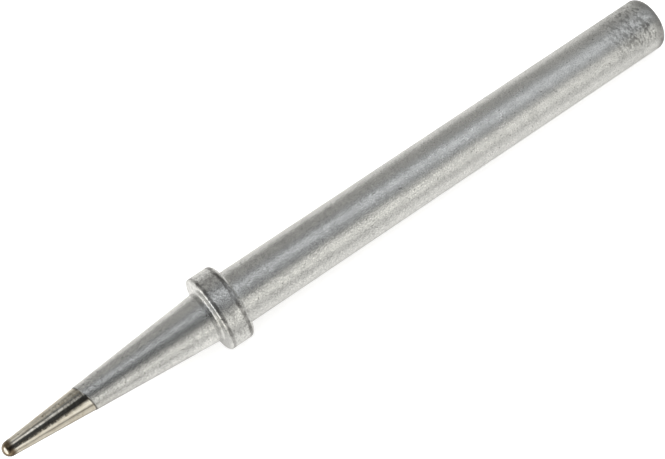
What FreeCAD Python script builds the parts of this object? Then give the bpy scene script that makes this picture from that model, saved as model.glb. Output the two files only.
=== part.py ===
import FreeCAD, Part
import math
import os

from FreeCAD import Placement, Rotation, Vector

# Plug-in bit of a soldering iron, turned from one round copper bar.
# The axis lies along X: the shank runs to +X and the working nose points to -X.
# The seat face of the collar is at x = 0.

# Driving sizes, in millimetres and degrees. The seam's turn round the axis puts the middle
# of a facet of both the collar and the shank underneath when the bit is meshed.
shank_diameter = 5.0
shank_length = 46.2
shank_end_round = 0.75
collar_diameter = 7.0
collar_width = 2.45
collar_seat_round = 0.5
collar_front_round = 0.28
root_fillet = 0.25
flank_root_diameter = 4.7
nose_length = 20.4
nose_ball_radius = 0.7
tinned_length = 7.9
tin_line_slant = 17.0
tin_line_turn = -6.0
plating_step = 0.03
seam_turn = 64.84

# Sizes that follow from them.
shank_radius = shank_diameter / 2
collar_radius = collar_diameter / 2
flank_root_radius = flank_root_diameter / 2
collar_front_x = -collar_width
nose_end_x = collar_front_x - nose_length
tin_line_x = nose_end_x + tinned_length


def at(x, r):
    """A point of the outline: x along the axis, r out from it."""
    return Vector(x, r, 0)


def arc_between(start, end, centre):
    """The short arc from start to end around the centre."""
    middle = (start + end) * 0.5 - centre
    middle.normalize()
    radius = (start - centre).Length
    return Part.Arc(start, centre + middle * radius, end).toShape()


def nose_outline(root_radius, ball_radius):
    """Ball nose, straight flank and root fillet, up to the front face of the collar."""
    ball_centre = at(nose_end_x + ball_radius, 0)
    root = at(collar_front_x, root_radius)
    to_root = root - ball_centre
    # The flank leaves the ball as a tangent, which sets the angle of the taper.
    taper = math.atan2(to_root.y, to_root.x) - math.asin(ball_radius / to_root.Length)
    out_of_flank = at(-math.sin(taper), math.cos(taper))
    ball_end = ball_centre + out_of_flank * ball_radius
    # The fillet touches the flank and the front face.
    fillet_r = root_radius - root_fillet * math.tan(taper) + root_fillet / math.cos(taper)
    fillet_centre = at(collar_front_x - root_fillet, fillet_r)
    flank_end = fillet_centre - out_of_flank * root_fillet
    face_start = at(collar_front_x, fillet_r)
    edges = [
        arc_between(at(nose_end_x, 0), ball_end, ball_centre),
        Part.makeLine(ball_end, flank_end),
        arc_between(flank_end, face_start, fillet_centre),
    ]
    return edges, face_start


def turned_body(root_radius, ball_radius):
    """The whole bit as one solid of revolution, turned round to where its seam belongs."""
    edges, face_start = nose_outline(root_radius, ball_radius)
    front_face_end = at(collar_front_x, collar_radius - collar_front_round)
    rim_start = at(collar_front_x + collar_front_round, collar_radius)
    rim_end = at(-collar_seat_round, collar_radius)
    seat_start = at(0, collar_radius - collar_seat_round)
    seat_end = at(0, shank_radius + root_fillet)
    shank_start = at(root_fillet, shank_radius)
    shank_stop = at(shank_length - shank_end_round, shank_radius)
    end_face_start = at(shank_length, shank_radius - shank_end_round)
    end_centre = at(shank_length, 0)
    nose_end = at(nose_end_x, 0)
    edges += [
        Part.makeLine(face_start, front_face_end),
        arc_between(front_face_end, rim_start, at(rim_start.x, front_face_end.y)),
        Part.makeLine(rim_start, rim_end),
        arc_between(rim_end, seat_start, at(rim_end.x, seat_start.y)),
        Part.makeLine(seat_start, seat_end),
        arc_between(seat_end, shank_start, at(shank_start.x, seat_end.y)),
        Part.makeLine(shank_start, shank_stop),
        arc_between(shank_stop, end_face_start, at(shank_stop.x, end_face_start.y)),
        Part.makeLine(end_face_start, end_centre),
        Part.makeLine(end_centre, nose_end),
    ]
    face = Part.Face(Part.Wire(edges))
    body = face.revolve(Vector(0, 0, 0), Vector(1, 0, 0), 360)
    body.rotate(Vector(0, 0, 0), Vector(1, 0, 0), seam_turn)
    return body


def nose_side_block():
    """A block that holds everything on the nose side of the slanted tin line."""
    size = 2 * nose_length
    slant = math.radians(tin_line_slant)
    turn = math.radians(tin_line_turn)
    normal = Vector(
        math.cos(slant),
        math.sin(slant) * math.cos(turn),
        math.sin(slant) * math.sin(turn))
    block = Part.makeBox(size, size, size, Vector(-size, -size / 2, -size / 2))
    block.Placement = Placement(Vector(tin_line_x, 0, 0), Rotation(Vector(1, 0, 0), normal))
    return block


# The plated body stands proud of the tinned nose by the thickness of its plating.
# The two meet in a fine step along the slanted line.
plated = turned_body(flank_root_radius, nose_ball_radius + plating_step)
tinned = turned_body(flank_root_radius - plating_step, nose_ball_radius)
block = nose_side_block()
soldering_tip = plated.cut(block).fuse(tinned.common(block)).removeSplitter().Solids[0]

os.makedirs("parts", exist_ok=True)
soldering_tip.exportStep("parts/soldering_tip.step")
print("volume", round(soldering_tip.Volume, 2), "faces", len(soldering_tip.Faces), "valid", soldering_tip.isValid())
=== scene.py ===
import math

import bmesh
import bpy
from bpy.props import FloatProperty, FloatVectorProperty, IntProperty, PointerProperty
from bpy.types import Operator, Panel, PropertyGroup
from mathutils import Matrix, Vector


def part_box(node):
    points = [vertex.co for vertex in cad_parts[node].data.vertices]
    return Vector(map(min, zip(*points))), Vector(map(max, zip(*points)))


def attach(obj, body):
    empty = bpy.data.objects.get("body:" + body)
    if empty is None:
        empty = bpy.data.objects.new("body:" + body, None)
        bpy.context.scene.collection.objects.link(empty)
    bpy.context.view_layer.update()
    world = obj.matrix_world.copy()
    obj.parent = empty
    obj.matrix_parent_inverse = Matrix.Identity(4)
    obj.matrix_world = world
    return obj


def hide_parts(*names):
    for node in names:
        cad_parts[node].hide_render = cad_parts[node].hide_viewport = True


bl_info = {
    "name": "Soldering bit",
    "version": (1, 0, 0),
    "blender": (4, 5, 0),
    "location": "View3D > Sidebar > Soldering bit",
    "description": "A turned soldering bit with a satin plated body and a bright tinned nose",
    "category": "Object",
}

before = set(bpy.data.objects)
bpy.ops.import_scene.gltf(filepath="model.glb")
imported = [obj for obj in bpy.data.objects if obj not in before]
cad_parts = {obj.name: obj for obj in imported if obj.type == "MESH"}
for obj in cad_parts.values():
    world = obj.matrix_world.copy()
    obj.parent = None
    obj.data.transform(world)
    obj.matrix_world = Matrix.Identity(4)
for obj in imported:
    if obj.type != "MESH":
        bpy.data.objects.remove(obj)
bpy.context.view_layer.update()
NODE = "soldering_tip"
LOW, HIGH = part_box(NODE)
MM = 0.001


class BitSizes(PropertyGroup):
    """Sizes of the bit. What the solid's box gives is taken from it."""
    shank_diameter: FloatProperty(
        name="Shank diameter", description="Plain round shank that goes into the heater",
        default=5.0 * MM, unit="LENGTH", precision=5)
    shank_length: FloatProperty(
        name="Shank length", description="Seat of the collar to the free end",
        default=HIGH[0], unit="LENGTH", precision=5)
    shank_end_round: FloatProperty(
        name="Shank end round", description="Radius of the rounded free end",
        default=0.75 * MM, unit="LENGTH", precision=5)
    collar_diameter: FloatProperty(
        name="Collar diameter", description="Outside of the raised collar",
        default=HIGH[2] - LOW[2], unit="LENGTH", precision=5)
    collar_width: FloatProperty(
        name="Collar width", description="Front face to seat face",
        default=2.45 * MM, unit="LENGTH", precision=5)
    collar_seat_round: FloatProperty(
        name="Collar seat round", description="Rounding of the rim on the shank side",
        default=0.5 * MM, unit="LENGTH", precision=5)
    collar_front_round: FloatProperty(
        name="Collar front round", description="Rounding of the rim on the nose side",
        default=0.2 * MM, unit="LENGTH", precision=5)
    root_fillet: FloatProperty(
        name="Root fillet", description="Hollow rounding where shank and flank meet the collar",
        default=0.18 * MM, unit="LENGTH", precision=5)
    flank_root_diameter: FloatProperty(
        name="Flank root diameter", description="Taper where it runs into the collar",
        default=4.7 * MM, unit="LENGTH", precision=5)
    nose_ball_radius: FloatProperty(
        name="Nose radius", description="Ball at the working end",
        default=0.7 * MM, unit="LENGTH", precision=5)
    tinned_length: FloatProperty(
        name="Tinned length", description="Nose end to the tin line, along the axis",
        default=7.9 * MM, unit="LENGTH", precision=5)
    tin_line_slant: FloatProperty(
        name="Tin line slant", description="How far the tin line leans from square",
        default=math.radians(17.0), subtype="ANGLE")
    tin_line_turn: FloatProperty(
        name="Tin line turn", description="Which way round the axis the tin line leans",
        default=math.radians(-6.0), subtype="ANGLE")
    plating_step: FloatProperty(
        name="Plating step", description="Height of the plating above the tinned nose",
        default=0.03 * MM, unit="LENGTH", precision=6)
    segments: IntProperty(
        name="Segments", description="Steps round the axis", default=224, min=32, max=360)


class BitFinish(PropertyGroup):
    """Colours of the plating and of the tinned nose."""
    plated_color: FloatVectorProperty(
        name="Plating", description="Clean satin plating",
        subtype="COLOR", size=3, default=(0.95, 0.952, 0.935), min=0, max=1)
    dull_color: FloatVectorProperty(
        name="Dulled plating", description="Grain and cloudy places of the plating",
        subtype="COLOR", size=3, default=(0.525, 0.53, 0.52), min=0, max=1)
    # This colour also paints the shade along the collar's edges and along the plating step.
    stain_and_shade_color: FloatVectorProperty(
        name="Stain", description="Stains, pits and dirt on the plating",
        subtype="COLOR", size=3, default=(0.16, 0.155, 0.15), min=0, max=1)
    tin_color: FloatVectorProperty(
        name="Tin", description="Bright tinned nose",
        subtype="COLOR", size=3, default=(0.90, 0.865, 0.775), min=0, max=1)
    tin_dull_color: FloatVectorProperty(
        name="Dull tin", description="Dull places in the tinning",
        subtype="COLOR", size=3, default=(0.60, 0.54, 0.44), min=0, max=1)
    residue_color: FloatVectorProperty(
        name="Residue", description="Burnt brown residue round the nose ball",
        subtype="COLOR", size=3, default=(0.175, 0.135, 0.09), min=0, max=1)


class StageSettings(PropertyGroup):
    """Floor, key lamp and camera."""
    floor_color: FloatVectorProperty(
        name="Floor", description="Pale floor under the bit",
        subtype="COLOR", size=3, default=(0.9, 0.9, 0.9), min=0, max=1)
    floor_size: FloatProperty(
        name="Floor size", description="Side of the square floor",
        default=1.2, unit="LENGTH")
    key_strength: FloatProperty(
        name="Key strength", description="Strength of the soft key lamp", default=1.9)
    lens: FloatProperty(
        name="Lens", description="Focal length of the camera in millimetres", default=103.2)
    camera_place: FloatVectorProperty(
        name="Camera place", description="Where the camera stands",
        subtype="TRANSLATION", unit="LENGTH", size=3, precision=5,
        default=(-31.64 * MM, -56.86 * MM, 147.25 * MM))
    camera_aim: FloatVectorProperty(
        name="Camera aim", description="The point at the middle of the picture",
        subtype="TRANSLATION", unit="LENGTH", size=3, precision=5,
        default=(10.68 * MM, 0.24 * MM, 0.0))


# The outline of the turned body, from the nose to the free end, as (x, radius).

# How far the flank's finest steps reach to both sides of the tin line.
FINE_REACH = 0.75 * MM


def arc_points(centre, radius, start, stop, steps):
    """Points of an arc after its first, with angles in degrees from the +X side."""
    points = []
    for step in range(1, steps + 1):
        angle = math.radians(start + (stop - start) * step / steps)
        points.append((centre[0] + radius * math.cos(angle), centre[1] + radius * math.sin(angle)))
    return points


def line_points(start, stop, steps):
    """Points of a straight run after its first."""
    run = (stop[0] - start[0], stop[1] - start[1])
    return [
        (start[0] + run[0] * step / steps, start[1] + run[1] * step / steps)
        for step in range(1, steps + 1)]


def on_flank(start, stop, x):
    """The point of the straight flank at this x."""
    share = (x - start[0]) / (stop[0] - start[0])
    return x, start[1] + (stop[1] - start[1]) * share


def bit_outline(sizes):
    """The plated outline: ball nose, flank, collar and shank, with every round and fillet."""
    shank = sizes.shank_diameter / 2
    collar = sizes.collar_diameter / 2
    root = sizes.flank_root_diameter / 2
    fillet = sizes.root_fillet
    front_round = sizes.collar_front_round
    seat_round = sizes.collar_seat_round
    end_round = sizes.shank_end_round
    front = -sizes.collar_width
    end = sizes.shank_length
    nose_end = LOW[0]
    tin_x = nose_end + sizes.tinned_length

    # The flank leaves the ball as a tangent, and the fillet touches flank and front face.
    ball = sizes.nose_ball_radius + sizes.plating_step
    ball_x = nose_end + ball
    reach = math.hypot(front - ball_x, root)
    taper = math.atan2(root, front - ball_x) - math.asin(ball / reach)
    taper_deg = math.degrees(taper)
    fillet_r = root - fillet * math.tan(taper) + fillet / math.cos(taper)
    flank_end = (front - fillet + fillet * math.sin(taper), fillet_r - fillet * math.cos(taper))

    points = [(nose_end, 0.0)]
    points += arc_points((ball_x, 0.0), ball, 180.0, 90.0 + taper_deg, steps=16)
    fine_start = on_flank(points[-1], flank_end, tin_x - FINE_REACH)
    points += line_points(points[-1], fine_start, steps=22)
    fine_stop = on_flank(points[-1], flank_end, tin_x + FINE_REACH)
    points += line_points(points[-1], fine_stop, steps=34)
    points += line_points(points[-1], flank_end, steps=40)
    points += arc_points((front - fillet, fillet_r), fillet, -90.0 + taper_deg, 0.0, steps=8)
    points += line_points(points[-1], (front, collar - front_round), steps=4)
    points += arc_points(
        (front + front_round, collar - front_round), front_round, 180.0, 90.0, steps=8)
    points += line_points(points[-1], (-seat_round, collar), steps=8)
    points += arc_points((-seat_round, collar - seat_round), seat_round, 90.0, 0.0, steps=10)
    points += line_points(points[-1], (0.0, shank + fillet), steps=2)
    points += arc_points((fillet, shank + fillet), fillet, 180.0, 270.0, steps=8)
    points += line_points(points[-1], (end - end_round, shank), steps=92)
    points += arc_points((end - end_round, shank - end_round), end_round, 90.0, 0.0, steps=12)
    points += line_points(points[-1], (end, 0.0), steps=10)
    return points


def tin_line(sizes):
    """A point and the unit normal of the slanted plane where tinning meets plating."""
    slant = sizes.tin_line_slant
    turn = sizes.tin_line_turn
    point = Vector((LOW[0] + sizes.tinned_length, 0.0, 0.0))
    normal = Vector((
        math.cos(slant), math.sin(slant) * math.cos(turn), math.sin(slant) * math.sin(turn)))
    return point, normal


# Nodes. Values passed to these are numbers, colours or the sockets of other nodes.

def add_node(tree, kind, **settings):
    """A new node with its own settings."""
    made = tree.nodes.new(kind)
    for key, value in settings.items():
        setattr(made, key, value)
    return made


def feed(tree, target, value):
    """Links a socket to an input, or writes a plain value on it."""
    if isinstance(value, bpy.types.NodeSocket):
        tree.links.new(value, target)
    elif isinstance(value, tuple) and len(value) == 3 and target.type == "RGBA":
        target.default_value = (*value, 1.0)
    else:
        target.default_value = value


def calc(tree, operation, *values, clamp=False):
    """The result of a Math node."""
    made = add_node(tree, "ShaderNodeMath", operation=operation, use_clamp=clamp)
    for target, value in zip(made.inputs, values):
        feed(tree, target, value)
    return made.outputs[0]


def times(tree, first, second):
    """The product of two values."""
    return calc(tree, "MULTIPLY", first, second)


def scaled(tree, value, gain, base):
    """The base and gain times the value."""
    return calc(tree, "MULTIPLY_ADD", value, gain, base)


def raised(tree, level, mask, by):
    """The level, raised by this share of itself where the mask is 1; a negative one lowers it."""
    return times(tree, level, scaled(tree, mask, by, 1.0))


def largest(tree, first, *others):
    """The largest of the values."""
    for other in others:
        first = calc(tree, "MAXIMUM", first, other)
    return first


def vector_calc(tree, operation, first, second, out="Vector"):
    """The result of a Vector Math node."""
    made = add_node(tree, "ShaderNodeVectorMath", operation=operation)
    feed(tree, made.inputs[0], first)
    feed(tree, made.inputs[1], second)
    return made.outputs[out]


def stretched(tree, place, factors):
    """The place with each axis multiplied; a pattern gets longer where the factor is small."""
    return vector_calc(tree, "MULTIPLY", place, factors)


def reach_along(tree, place, direction):
    """How far the place lies along a direction."""
    return vector_calc(tree, "DOT_PRODUCT", place, tuple(direction), out="Value")


def ease(tree, value, start, stop):
    """A smooth step: 0 at start and 1 at stop, whichever of the two is the larger."""
    made = add_node(tree, "ShaderNodeMapRange", interpolation_type="SMOOTHSTEP")
    feed(tree, made.inputs["Value"], value)
    made.inputs["From Min"].default_value = min(start, stop)
    made.inputs["From Max"].default_value = max(start, stop)
    made.inputs["To Min"].default_value = 0.0 if start < stop else 1.0
    made.inputs["To Max"].default_value = 1.0 if start < stop else 0.0
    return made.outputs["Result"]


def band(tree, value, middle, full, fade):
    """1 within full of the middle, then down to 0 at fade from it."""
    away = calc(tree, "ABSOLUTE", calc(tree, "SUBTRACT", value, middle))
    return ease(tree, away, start=fade, stop=full)


def blend(tree, share, first, second):
    """Mixes two colours."""
    made = add_node(tree, "ShaderNodeMix", data_type="RGBA")
    colors = [socket for socket in made.inputs if socket.type == "RGBA"]
    feed(tree, made.inputs["Factor"], share)
    feed(tree, colors[0], first)
    feed(tree, colors[1], second)
    return next(socket for socket in made.outputs if socket.type == "RGBA")


def noise(tree, place, scale, detail, roughness):
    """The grey value of a noise."""
    made = add_node(tree, "ShaderNodeTexNoise")
    feed(tree, made.inputs["Vector"], place)
    feed(tree, made.inputs["Scale"], scale)
    made.inputs["Detail"].default_value = detail
    made.inputs["Roughness"].default_value = roughness
    return made.outputs["Fac"]


def patches(tree, place, scale, start, stop, detail=4.0, roughness=0.6):
    """A mask of soft patches: a noise, eased between two of its grey values."""
    return ease(tree, noise(tree, place, scale, detail, roughness), start, stop)


def axes(tree, kind):
    """The X, Y and Z values of a texture coordinate."""
    coords = add_node(tree, "ShaderNodeTexCoord")
    split = add_node(tree, "ShaderNodeSeparateXYZ")
    feed(tree, split.inputs[0], coords.outputs[kind])
    return split.outputs["X"], split.outputs["Y"], split.outputs["Z"]


def new_group(name, inputs, outputs):
    """An empty shader group with its named sockets."""
    tree = bpy.data.node_groups.new(name, "ShaderNodeTree")
    for label, kind in inputs:
        tree.interface.new_socket(label, in_out="INPUT", socket_type=kind)
    for label in outputs:
        tree.interface.new_socket(label, in_out="OUTPUT", socket_type="NodeSocketFloat")
    return tree, tree.nodes.new("NodeGroupInput").outputs, tree.nodes.new("NodeGroupOutput").inputs


def use_group(tree, group, **values):
    """Places a group with values for its inputs, a space written as _; returns its outputs."""
    made = add_node(tree, "ShaderNodeGroup", node_tree=group)
    for label, value in values.items():
        feed(tree, made.inputs[label.replace("_", " ")], value)
    return made.outputs


def turned_grain_group():
    """Masks for the metal's fine grain, its cloudy places and its turning lines."""
    tree, given, result = new_group(
        "turned_grain",
        (("Place", "NodeSocketVector"), ("Grain Scale", "NodeSocketFloat"),
         ("Cloud Scale", "NodeSocketFloat"), ("Line Scale", "NodeSocketFloat")),
        ("Grain", "Cloud", "Lines"))
    place = given["Place"]

    # The grain is drawn out a little round the axis, the turning lines much more.
    grain_place = stretched(tree, place, (1.0, 0.5, 0.5))
    line_place = stretched(tree, place, (1.0, 0.04, 0.04))
    feed(tree, result["Grain"], patches(
        tree, grain_place, given["Grain Scale"], start=0.36, stop=0.64,
        detail=1.5, roughness=0.7))
    feed(tree, result["Cloud"], patches(
        tree, place, given["Cloud Scale"], start=0.36, stop=0.66, detail=5.0))
    feed(tree, result["Lines"], patches(
        tree, line_place, given["Line Scale"], start=0.3, stop=0.7,
        detail=3.0, roughness=0.7))
    return tree


def marks_group():
    """A mask of separate small marks; a higher threshold leaves fewer of them."""
    tree, given, result = new_group(
        "separate_marks",
        (("Place", "NodeSocketVector"), ("Scale", "NodeSocketFloat"),
         ("Threshold", "NodeSocketFloat"), ("Softness", "NodeSocketFloat")),
        ("Marks",))
    spots = noise(tree, given["Place"], given["Scale"], detail=2.0, roughness=0.55)
    over = calc(tree, "SUBTRACT", spots, given["Threshold"])
    feed(tree, result["Marks"], calc(tree, "DIVIDE", over, given["Softness"], clamp=True))
    return tree


# Finishes. Places and lengths in them are in millimetres on the piece, and a noise's scale is
# counted per millimetre.

# The height of a full bump, in metres as the shader takes it.
RELIEF = 0.008 * MM

# Straight up as the bit lies, leaning a very little to the camera's side.
UPWARD = (0.0, -0.065, 0.998)

# Up and away from the camera, across the axis.
FAR_AND_UP = (0.0, 0.932, 0.362)

# Which way the painted highlight spot on the nose ball faces from the ball's centre, aimed where
# the pane's highlight falls, and its half sizes, of which the longer runs round the axis.
HIGHLIGHT_FACING = (-0.640, -0.285, 0.713)
HIGHLIGHT_HALF_LENGTH = 0.31
HIGHLIGHT_HALF_WIDTH = 0.13


def new_metal(name, metallic):
    """A new material, its node tree and the inputs of its shader."""
    made = bpy.data.materials.new(name)
    made.use_nodes = True
    tree = made.node_tree
    shader = tree.nodes["Principled BSDF"].inputs
    feed(tree, shader["Metallic"], metallic)
    return made, tree, shader


def place_in_mm(tree):
    """The place on the piece in millimetres, and its distance along the axis."""
    coords = add_node(tree, "ShaderNodeTexCoord")
    place = stretched(tree, coords.outputs["Object"], (1 / MM, 1 / MM, 1 / MM))
    split = add_node(tree, "ShaderNodeSeparateXYZ")
    feed(tree, split.inputs[0], place)
    return place, split.outputs["X"]


def add_bump(tree, shader, height):
    """Bumps the surface by a height from 0 to 1."""
    bump = add_node(tree, "ShaderNodeBump")
    bump.inputs["Distance"].default_value = RELIEF
    feed(tree, bump.inputs["Height"], height)
    feed(tree, shader["Normal"], bump.outputs["Normal"])


def tin_step_shade(tree, place, sizes):
    """Painted shade: a thin mask just off the slanted plating edge, fainter where it crosses the
    top.
    """
    point, normal = tin_line(sizes)
    edge = point.dot(normal) / MM
    line = band(
        tree, reach_along(tree, place, normal), middle=edge - 0.02, full=0.03, fade=0.09)
    side = reach_along(tree, place, FAR_AND_UP)
    strength = largest(
        tree, ease(tree, side, start=0.7, stop=1.05), ease(tree, side, start=-0.1, stop=-0.5))
    return times(tree, line, scaled(tree, strength, gain=0.75, base=0.25))


def collar_edge_shade(tree, place, x, front):
    """Patchy painted shade along both rounded edges of the collar and in the root of the flank."""
    front_line = front + 0.27
    seat_line = -0.46
    root_line = front - 0.35
    uneven = noise(tree, place, scale=2.2, detail=4.0, roughness=0.65)
    ragged = calc(tree, "SUBTRACT", uneven, 0.5)
    front_rim_shade = band(
        tree, scaled(tree, ragged, gain=0.38, base=x), middle=front_line, full=0.05, fade=0.22)
    seat_rim_shade = band(
        tree, scaled(tree, ragged, gain=0.45, base=x), middle=seat_line, full=0.08, fade=0.26)
    root_crease_shade = band(tree, x, middle=root_line, full=0.05, fade=0.26)
    edges = largest(tree, front_rim_shade, seat_rim_shade, times(tree, root_crease_shade, 0.5))
    blotch = patches(tree, place, scale=1.3, start=0.36, stop=0.60)
    return times(tree, edges, scaled(tree, blotch, gain=0.5, base=0.5))


def free_end_stain(tree, place, x, end, mark_group):
    """The free end's zone, its stain with a dark rim, and its marks, which crowd on top."""
    zone = ease(tree, x, start=end - 8.5, stop=end - 2.0)
    blotch = patches(tree, place, scale=0.7, start=0.42, stop=0.62)
    short_marks = use_group(
        tree, mark_group, Place=stretched(tree, place, (1.0, 0.4, 0.4)),
        Scale=5.0, Threshold=0.52, Softness=0.09)["Marks"]
    smudges = use_group(
        tree, mark_group, Place=stretched(tree, place, (1.0, 0.65, 0.65)),
        Scale=2.6, Threshold=0.51, Softness=0.10)["Marks"]
    on_top = ease(tree, reach_along(tree, place, UPWARD), start=1.0, stop=1.9)
    crowd = times(
        tree, scaled(tree, on_top, gain=0.70, base=0.24),
        scaled(tree, blotch, gain=0.35, base=0.7))
    marks = times(tree, crowd, largest(tree, smudges, times(tree, short_marks, 0.8)))
    rim = ease(tree, x, start=end - 1.5, stop=end - 0.6)
    rim_stain = times(tree, rim, scaled(tree, blotch, gain=0.35, base=0.62))
    darkened = largest(tree, times(tree, blotch, 0.12), marks)
    stain = largest(tree, times(tree, zone, darkened), rim_stain)
    return zone, stain, times(tree, zone, marks)


def plated_material(finish, sizes, grain_group, mark_group):
    """Satin plating: fine grain, painted shade along the collar's edges and at the tin line, and a
    stained, pitted free end.
    """
    made, tree, shader = new_metal("satin_plating", metallic=0.95)
    place, x = place_in_mm(tree)
    front = -sizes.collar_width / MM
    end = sizes.shank_length / MM
    grain = use_group(
        tree, grain_group, Place=place, Grain_Scale=17.0, Cloud_Scale=0.8, Line_Scale=7.0)
    specks = use_group(
        tree, mark_group, Place=place, Scale=4.5, Threshold=0.67, Softness=0.05)["Marks"]
    step_shade = tin_step_shade(tree, place, sizes)
    end_zone, stain, end_marks = free_end_stain(tree, place, x, end, mark_group)

    # Faint mottling on the collar, and fainter still next to it and towards the free end.
    mottle = use_group(
        tree, mark_group, Place=place, Scale=2.6, Threshold=0.51, Softness=0.12)["Marks"]
    half_collar = -front / 2
    on_collar = band(
        tree, x, middle=-half_collar, full=half_collar - 0.1, fade=half_collar + 0.1)
    worn = ease(tree, x, start=5.0, stop=end - 7.0)
    by_collar = band(tree, x, middle=4.0, full=4.0, fade=12.0)
    mottled = times(tree, largest(tree, worn, by_collar), 0.085)
    mottled = scaled(tree, on_collar, gain=0.27, base=mottled)
    # Painted shade along the collar's rims and in the flank's root, together with the real
    # mottling.
    darkened = largest(
        tree, collar_edge_shade(tree, place, x, front), times(tree, mottled, mottle))

    dull = scaled(tree, grain["Grain"], gain=0.82, base=times(tree, grain["Cloud"], 0.16))
    color = blend(tree, dull, tuple(finish.plated_color), tuple(finish.dull_color))
    # The painted shade of the collar's edges and of the plating step takes the stain colour, as
    # the stains and specks do.
    for mask, strength in ((darkened, 0.9), (stain, 0.82), (specks, 0.8), (step_shade, 0.7)):
        color = blend(tree, times(tree, mask, strength), color, tuple(finish.stain_and_shade_color))
    feed(tree, shader["Base Color"], color)

    rough = scaled(tree, grain["Cloud"], gain=0.05, base=0.208)
    # Rougher under the painted collar shade, the mottling and the stains.
    dirt = largest(tree, darkened, stain)
    for mask, more in ((worn, 0.075), (end_zone, 0.07), (on_collar, -0.055), (dirt, 0.10)):
        rough = scaled(tree, mask, gain=more, base=rough)
    feed(tree, shader["Roughness"], rough)

    height = scaled(tree, grain["Lines"], gain=0.12, base=times(tree, grain["Grain"], 0.75))
    pits = largest(tree, specks, end_marks)
    add_bump(tree, shader, scaled(tree, pits, gain=-0.8, base=height))
    return made


def ball_residue_and_highlight(tree, place, x, sizes):
    """Brown residue over the ball, also painted shade round one small bare spot that is a painted
    highlight, aimed and shaped where the pane's highlight falls.
    """
    nose_end = LOW[0] / MM
    ball = (sizes.nose_ball_radius + sizes.plating_step) / MM
    facing = Vector(HIGHLIGHT_FACING).normalized()
    long_way = facing.cross(Vector((1, 0, 0))).normalized()
    short_way = facing.cross(long_way)
    from_centre = vector_calc(tree, "SUBTRACT", place, (nose_end + ball, 0.0, 0.0))
    out = reach_along(tree, from_centre, facing)

    # The highlight spot is an ellipse: spread is 1 on its outline and less inside it.
    spread = 0.0
    for direction, half in ((long_way, HIGHLIGHT_HALF_LENGTH), (short_way, HIGHLIGHT_HALF_WIDTH)):
        share = calc(tree, "DIVIDE", reach_along(tree, from_centre, direction), half)
        spread = scaled(tree, share, gain=share, base=spread)
    spread = calc(tree, "SQRT", spread)
    highlight_spot = times(
        tree, ease(tree, spread, start=1.15, stop=0.85), ease(tree, out, start=0.2, stop=0.3))
    ball_zone = ease(tree, x, start=nose_end + 1.2, stop=nose_end + 0.75)
    return times(tree, ball_zone, calc(tree, "SUBTRACT", 1.0, highlight_spot))


def tinned_material(finish, sizes, grain_group, mark_group):
    """Bright tin: warm and nearly mirror smooth, dull in streaks, burnt brown at the ball round a
    painted highlight spot, with painted shade at the plating step.
    """
    made, tree, shader = new_metal("bright_tinning", metallic=1.0)
    place, x = place_in_mm(tree)
    grain = use_group(
        tree, grain_group, Place=place, Grain_Scale=5.0, Cloud_Scale=1.6, Line_Scale=6.0)
    pits = use_group(
        tree, mark_group, Place=place, Scale=3.2, Threshold=0.66, Softness=0.05)["Marks"]
    step_shade = tin_step_shade(tree, place, sizes)
    residue = ball_residue_and_highlight(tree, place, x, sizes)

    # The streaks run along the axis.
    streaks = patches(
        tree, stretched(tree, place, (0.12, 1.0, 1.0)), scale=4.2, start=0.38, stop=0.62,
        detail=3.0, roughness=0.65)
    dull = scaled(tree, grain["Cloud"], gain=0.22, base=times(tree, streaks, 0.46))
    dull = scaled(tree, grain["Grain"], gain=0.14, base=dull)
    residue_color = tuple(finish.residue_color)
    color = blend(tree, dull, tuple(finish.tin_color), tuple(finish.tin_dull_color))
    color = blend(tree, times(tree, pits, 0.5), color, residue_color)
    # Brown residue, also painted shade round the painted highlight spot.
    color = blend(tree, residue, color, residue_color)
    # Painted shade along the plating step.
    color = blend(tree, times(tree, step_shade, 0.85), color, tuple(finish.stain_and_shade_color))
    feed(tree, shader["Base Color"], color)

    rough = scaled(tree, grain["Cloud"], gain=0.05, base=0.055)
    feed(tree, shader["Roughness"], scaled(tree, residue, gain=0.2, base=rough))

    height = scaled(tree, grain["Grain"], gain=0.05, base=times(tree, grain["Cloud"], 0.22))
    add_bump(tree, shader, scaled(tree, pits, gain=-0.5, base=height))
    return made


# The turned bit.

def deselect_everything():
    """Leaves edit mode and deselects all objects."""
    if bpy.context.object and bpy.context.object.mode != "OBJECT":
        bpy.ops.object.mode_set(mode="OBJECT")
    bpy.ops.object.select_all(action="DESELECT")


def draw_outline(points):
    """Draws the outline in edit mode: one corner of a plane, extruded from point to point."""
    first = Vector((points[0][0], 0.0, points[0][1]))
    bpy.ops.mesh.primitive_plane_add(size=1.0 * MM, location=first)
    piece = bpy.context.object
    bpy.ops.object.transform_apply(location=True, rotation=True, scale=True)
    bpy.ops.object.mode_set(mode="EDIT")
    bpy.ops.mesh.select_all(action="SELECT")
    bpy.ops.mesh.merge(type="CENTER")
    here = first
    for x, radius in points[1:]:
        there = Vector((x, 0.0, radius))
        bpy.ops.mesh.extrude_region_move(TRANSFORM_OT_translate={"value": there - here})
        here = there
    return piece


def select_by_distance(piece, point, normal, low, high):
    """Selects the vertices whose distance from a plane lies between low and high."""
    mesh = bmesh.from_edit_mesh(piece.data)
    mesh.select_mode = {"VERT"}
    for vert in mesh.verts:
        vert.select = low <= (vert.co - point).dot(normal) <= high
    mesh.select_flush_mode()
    bmesh.update_edit_mesh(piece.data)


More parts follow.
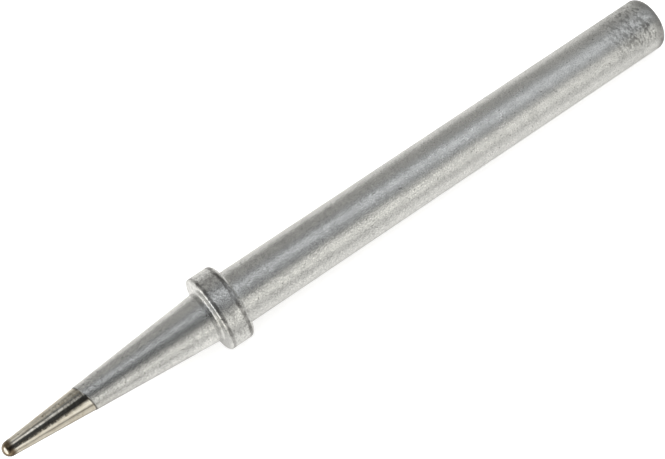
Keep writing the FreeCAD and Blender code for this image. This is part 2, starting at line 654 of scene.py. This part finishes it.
def cut_tin_line(piece, sizes):
    """Cuts the slanted tin line and sinks the nose below the plating by one small step."""
    point, normal = tin_line(sizes)
    step = sizes.plating_step
    for offset in (0.0, step):
        bpy.ops.mesh.select_all(action="SELECT")
        bpy.ops.mesh.bisect(plane_co=point + normal * offset, plane_no=normal)
    bpy.context.tool_settings.mesh_select_mode = (True, False, False)
    select_by_distance(piece, point, normal, low=-math.inf, high=step * 0.1)
    bpy.ops.transform.shrink_fatten(value=-step)


def paint_faces(piece, sizes, plated, tinned):
    """Gives the faces on the nose side of the tin line the tinned finish."""
    piece.data.materials.append(plated)
    piece.data.materials.append(tinned)
    point, normal = tin_line(sizes)
    mesh = bmesh.from_edit_mesh(piece.data)
    for face in mesh.faces:
        side = (face.calc_center_median() - point).dot(normal)
        face.material_index = 1 if side < 0 else 0
    bmesh.update_edit_mesh(piece.data)


def waver(piece):
    """A very slight unevenness of the turned surface, a few thousandths of a millimetre."""
    texture = bpy.data.textures.new("turning_waver", "CLOUDS")
    texture.noise_scale = 1.6 * MM
    texture.noise_depth = 2
    modifier = piece.modifiers.new("waver", "DISPLACE")
    modifier.texture = texture
    modifier.texture_coords = "LOCAL"
    modifier.direction = "NORMAL"
    modifier.mid_level = 0.5
    modifier.strength = 0.006 * MM
    bpy.ops.object.modifier_apply(modifier=modifier.name)


class SOLDERING_BIT_OT_turned_bit(Operator):
    """Draw the outline, spin it into the bit, cut the tin line and give it its finishes"""
    bl_idname = "soldering_bit.turned_bit"
    bl_label = "Turned bit"
    bl_options = {"REGISTER", "UNDO"}

    def execute(self, context):
        sizes = context.scene.bit_sizes
        finish = context.scene.bit_finish
        deselect_everything()
        piece = draw_outline(bit_outline(sizes))
        piece.name = "turned_bit"
        bpy.ops.mesh.select_all(action="SELECT")
        bpy.ops.mesh.spin(
            steps=sizes.segments, angle=2 * math.pi, center=(0, 0, 0), axis=(1, 0, 0))
        bpy.ops.mesh.select_all(action="SELECT")
        bpy.ops.mesh.remove_doubles(threshold=0.002 * MM)
        bpy.ops.mesh.normals_make_consistent(inside=False)
        cut_tin_line(piece, sizes)
        grain = turned_grain_group()
        marks = marks_group()
        paint_faces(
            piece, sizes,
            plated_material(finish, sizes, grain, marks),
            tinned_material(finish, sizes, grain, marks))
        bpy.ops.object.mode_set(mode="OBJECT")
        waver(piece)
        bpy.ops.object.shade_smooth_by_angle(angle=math.radians(35))
        if len(piece.data.polygons) < sizes.segments:
            raise RuntimeError("the outline was not spun into a body")
        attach(piece, "root")
        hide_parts(NODE)
        return {"FINISHED"}


# The stage. A direction's turn is its angle round the X axis in degrees: 0 at the +Y horizon,
# 90 overhead and 180 at the -Y horizon, on the camera's side. Along is its share towards +X.

# The grey of the walls, as (turn, level).
WALL_LEVELS = (
    (0, 0.53), (14, 0.345), (26, 0.355), (37, 0.405), (45, 0.36), (54, 0.255), (88, 0.16),
    (96, 0.085), (106, 0.055), (180, 0.055))

# The turn at which the camera stands.
CAMERA_TURN = 111.2

# How much further towards -X the flank of the nose mirrors than the shank does, at the most.
NOSE_LEAN = 0.188

WARM_LIGHT = (1.0, 0.985, 0.935)
COOL_LIGHT = (0.95, 0.975, 1.0)
WHITE = (1.0, 1.0, 1.0)

# What the metal mirrors of the floor: warmer on the near side under the nose than elsewhere.
NOSE_SHEEN = (1.0, 0.97, 0.90)
FLOOR_SHEEN = (1.0, 0.985, 0.95)

# How far the floor lies below the bit, so that the two don't run into each other.
FLOOR_GAP = 0.02 * MM


def floor_sheen(tree, x, y):
    """The colour and level that the metal mirrors; x is counted from where the collar rests."""
    aside = calc(tree, "ABSOLUTE", y)
    under_bit = ease(tree, aside, start=22 * MM, stop=5 * MM)
    far_side = ease(tree, y, start=-1 * MM, stop=2 * MM)
    clear_of_nose = ease(tree, x, start=-15 * MM, stop=-10 * MM)
    beyond_nose = ease(tree, x, start=-23.5 * MM, stop=-27 * MM)
    collar_foot = band(tree, x, middle=-3.3 * MM, full=0.5 * MM, fade=1.5 * MM)
    color = blend(tree, largest(tree, clear_of_nose, far_side), NOSE_SHEEN, FLOOR_SHEEN)

    open_floor = raised(
        tree, scaled(tree, clear_of_nose, gain=0.19, base=0.35), far_side,
        by=scaled(tree, clear_of_nose, gain=-0.17, base=0.49))
    more_under_bit = raised(
        tree, scaled(tree, clear_of_nose, gain=-0.03, base=0.39), far_side,
        by=scaled(tree, clear_of_nose, gain=-0.30, base=-0.15))
    level = scaled(tree, under_bit, gain=more_under_bit, base=open_floor)

    # Painted contact shadow in this glow: darker right where bit and floor come together, but not
    # at the foot of the collar, where the glow is raised instead.
    level = raised(
        tree, level, ease(tree, aside, start=4.0 * MM, stop=1.2 * MM),
        by=scaled(tree, clear_of_nose, gain=0.08, base=-0.50))
    level = scaled(tree, collar_foot, gain=0.18, base=level)
    return color, scaled(tree, beyond_nose, gain=1.1, base=level)


def floor_material(color):
    """Pale floor: white in the picture with a faint shadow, and a graded glow in the metal."""
    made = bpy.data.materials.new("pale_floor")
    made.use_nodes = True
    tree = made.node_tree
    tree.nodes.clear()
    path = add_node(tree, "ShaderNodeLightPath").outputs
    mirrored = calc(tree, "ADD", path["Is Glossy Ray"], path["Is Transmission Ray"], clamp=True)

    matt = add_node(tree, "ShaderNodeBsdfDiffuse")
    feed(tree, matt.inputs["Color"], tuple(color))
    glow = add_node(tree, "ShaderNodeEmission")
    feed(tree, glow.inputs["Strength"], times(tree, path["Is Camera Ray"], 0.62))
    both = add_node(tree, "ShaderNodeAddShader")
    feed(tree, both.inputs[0], matt.outputs[0])
    feed(tree, both.inputs[1], glow.outputs[0])

    x, y, _ = axes(tree, "Object")
    sheen_color, sheen_level = floor_sheen(tree, x, y)
    sheen = add_node(tree, "ShaderNodeEmission")
    feed(tree, sheen.inputs["Color"], sheen_color)
    feed(tree, sheen.inputs["Strength"], sheen_level)

    mix = add_node(tree, "ShaderNodeMixShader")
    feed(tree, mix.inputs[0], mirrored)
    feed(tree, mix.inputs[1], both.outputs[0])
    feed(tree, mix.inputs[2], sheen.outputs[0])
    output = add_node(tree, "ShaderNodeOutputMaterial")
    feed(tree, output.inputs["Surface"], mix.outputs[0])
    return made


def wall_light(tree, turn, along, nose_side):
    """The grey walls, lighter for the nose and a little towards the shank's end."""
    walls = add_node(tree, "ShaderNodeValToRGB")
    feed(tree, walls.inputs[0], calc(tree, "DIVIDE", turn, 180.0, clamp=True))
    ramp = walls.color_ramp
    for angle, level in WALL_LEVELS[1:-1]:
        ramp.elements.new(angle / 180.0)
    for element, (angle, level) in zip(ramp.elements, WALL_LEVELS):
        element.position = angle / 180.0
        element.color = (level, level, level, 1.0)
    share = scaled(tree, ease(tree, along, start=0.0, stop=0.20), gain=0.10, base=0.46)
    share = scaled(tree, ease(tree, along, start=0.10, stop=0.44), gain=0.40, base=share)
    nose_lift = band(tree, turn, middle=36, full=10, fade=26)
    nose_lift = scaled(tree, nose_lift, gain=0.42, base=0.68)
    return times(tree, walls.outputs[0], scaled(tree, nose_side, gain=nose_lift, base=share))


def window_light(tree, turn, along, nose_side):
    """The window on the camera's side, with a soft upper edge."""
    # The edge lies between the turns 121.5 and 151.5, but for the nose between 145 and 163.
    edge = scaled(tree, along, gain=12.0, base=turn)
    nose_shift = scaled(tree, edge, gain=0.70, base=-125.5)
    edge = scaled(tree, nose_side, gain=nose_shift, base=edge)
    low_down = scaled(tree, ease(tree, turn, start=187, stop=165), gain=0.34, base=0.58)
    window = times(tree, ease(tree, edge, start=121.5, stop=151.5), low_down)
    window = raised(tree, window, ease(tree, along, start=0.05, stop=0.35), by=0.09)
    return raised(tree, window, nose_side, by=0.09)


def ceiling_light(tree, turn, along):
    """The ceiling, lighter and reaching further down towards the shank's end."""
    lower = scaled(tree, ease(tree, along, start=0.38, stop=0.45), gain=18.0, base=turn)
    level = times(tree, ease(tree, along, start=0.05, stop=0.38), 0.48)
    return times(tree, level, ease(tree, lower, start=43, stop=68))


def top_light(tree, turn, along, nose_side):
    """The top light: a strip a little aslant to the bit, wider towards the shank's end."""
    middle = scaled(tree, along, gain=25.0, base=77.5)
    middle = scaled(tree, nose_side, gain=5.5, base=middle)
    off_middle = calc(tree, "ABSOLUTE", calc(tree, "SUBTRACT", turn, middle))
    wide = times(tree, ease(tree, along, start=0.14, stop=0.40), 10.5)
    wide = scaled(tree, nose_side, gain=1.8, base=wide)
    strip = ease(tree, calc(tree, "SUBTRACT", off_middle, wide), start=14.0, stop=4.5)
    level = scaled(tree, ease(tree, along, start=0.0, stop=0.35), gain=0.87, base=0.12)
    return times(tree, strip, scaled(tree, nose_side, gain=0.90, base=level))


def nose_pane(tree, above, along):
    """A bright pane beyond the nose, from the horizon to about 40 degrees up."""
    beyond = ease(tree, along, start=-0.50, stop=-0.60)
    height = times(
        tree, ease(tree, above, start=0.0, stop=0.05), ease(tree, above, start=0.66, stop=0.58))
    return times(tree, times(tree, beyond, height), 1.25)


def studio_world(world):
    """Soft studio: grey walls, a warm window side, a cool top light and a dim ceiling."""
    world.use_nodes = True
    tree = world.node_tree
    background = tree.nodes["Background"].inputs
    along, aside, above = axes(tree, "Generated")
    turn = calc(tree, "DEGREES", calc(tree, "ARCTAN2", above, aside))

    # Directions that only the tinned nose mirrors, since its flank leans towards them, and most
    # where it faces the camera.
    half_turn = calc(tree, "RADIANS", scaled(tree, turn, gain=0.5, base=-CAMERA_TURN / 2))
    lean = scaled(tree, calc(tree, "COSINE", half_turn), gain=NOSE_LEAN, base=along)
    nose_side = ease(tree, lean, start=0.125, stop=0.098)

    lit = largest(
        tree, wall_light(tree, turn, along, nose_side), window_light(tree, turn, along, nose_side),
        ceiling_light(tree, turn, along), top_light(tree, turn, along, nose_side))

    # It is dark beyond both ends of the bit, but for the pane.
    ends = times(
        tree, ease(tree, along, start=0.90, stop=0.66), ease(tree, along, start=-0.50, stop=-0.22))
    lit = times(tree, lit, scaled(tree, ends, gain=0.75, base=0.25))
    lit = largest(tree, lit, nose_pane(tree, above, along))
    cool = times(
        tree, ease(tree, turn, start=46, stop=58), ease(tree, turn, start=130, stop=118))
    tint = blend(tree, cool, WARM_LIGHT, COOL_LIGHT)

    # Seen straight from the camera, the room is as white as the floor.
    seen = add_node(tree, "ShaderNodeLightPath").outputs["Is Camera Ray"]
    feed(tree, background["Color"], blend(tree, seen, tint, WHITE))
    feed(tree, background["Strength"], largest(tree, lit, seen))


def add_floor(sizes, stage):
    """The floor, which leans a little: the bit lies on its collar and on its shank's end."""
    collar_x = -sizes.collar_seat_round
    collar_z = -sizes.collar_diameter / 2
    end_x = sizes.shank_length - sizes.shank_end_round
    end_z = -sizes.shank_diameter / 2
    lean = math.atan2(end_z - collar_z, end_x - collar_x)
    bpy.ops.mesh.primitive_plane_add(
        size=stage.floor_size, location=(collar_x, 0.0, collar_z - FLOOR_GAP),
        rotation=(0.0, -lean, 0.0))
    floor = bpy.context.object
    floor.name = "floor"
    floor.data.materials.append(floor_material(stage.floor_color))


def add_key_lamp(stage):
    """A soft key lamp that the metal doesn't mirror."""
    bpy.ops.object.light_add(type="SUN", rotation=(math.radians(-18), math.radians(-14), 0))
    key = bpy.context.object
    key.name = "soft_key"
    key.data.energy = stage.key_strength
    key.data.angle = math.radians(70)
    key.visible_glossy = False


def add_camera(scene, stage):
    """The camera at the photo's viewing angle."""
    bpy.ops.object.camera_add(location=stage.camera_place)
    camera = bpy.context.object
    camera.name = "photo_camera"
    camera.data.lens = stage.lens
    camera.data.sensor_width = 36.0
    camera.data.clip_start = 0.01
    camera.data.dof.use_dof = False
    aim = Vector(stage.camera_aim) - Vector(stage.camera_place)
    camera.rotation_euler = aim.to_track_quat("-Z", "Y").to_euler()
    scene.camera = camera


class SOLDERING_BIT_OT_stage(Operator):
    """Add the pale floor, the studio, the soft key lamp and the camera"""
    bl_idname = "soldering_bit.stage"
    bl_label = "Stage"
    bl_options = {"REGISTER", "UNDO"}

    def execute(self, context):
        scene = context.scene
        stage = scene.stage_settings
        deselect_everything()
        add_floor(scene.bit_sizes, stage)
        scene.world = bpy.data.worlds.new("studio")
        studio_world(scene.world)
        add_key_lamp(stage)
        add_camera(scene, stage)
        scene.view_settings.view_transform = "Standard"
        return {"FINISHED"}


class SOLDERING_BIT_PT_panel(Panel):
    """Lists the settings and the two steps"""
    bl_label = "Soldering bit"
    bl_idname = "SOLDERING_BIT_PT_panel"
    bl_space_type = "VIEW_3D"
    bl_region_type = "UI"
    bl_category = "Soldering bit"

    def draw(self, context):
        scene = context.scene
        layout = self.layout
        for group in (scene.bit_sizes, scene.bit_finish, scene.stage_settings):
            column = layout.column(align=True)
            for name in group.__annotations__:
                column.prop(group, name)
        layout.operator(SOLDERING_BIT_OT_turned_bit.bl_idname)
        layout.operator(SOLDERING_BIT_OT_stage.bl_idname)


CLASSES = (
    BitSizes, BitFinish, StageSettings,
    SOLDERING_BIT_OT_turned_bit, SOLDERING_BIT_OT_stage, SOLDERING_BIT_PT_panel,
)


def register():
    """Registers the classes and gives the scene their settings."""
    for cls in CLASSES:
        bpy.utils.register_class(cls)
    bpy.types.Scene.bit_sizes = PointerProperty(type=BitSizes)
    bpy.types.Scene.bit_finish = PointerProperty(type=BitFinish)
    bpy.types.Scene.stage_settings = PointerProperty(type=StageSettings)


def unregister():
    """Takes back what register did."""
    del bpy.types.Scene.stage_settings
    del bpy.types.Scene.bit_finish
    del bpy.types.Scene.bit_sizes
    for cls in reversed(CLASSES):
        bpy.utils.unregister_class(cls)


def main():
    """Adds the bit and the stage."""
    register()
    bpy.ops.soldering_bit.turned_bit()
    bpy.ops.soldering_bit.stage()


if __name__ == "__main__":
    main()
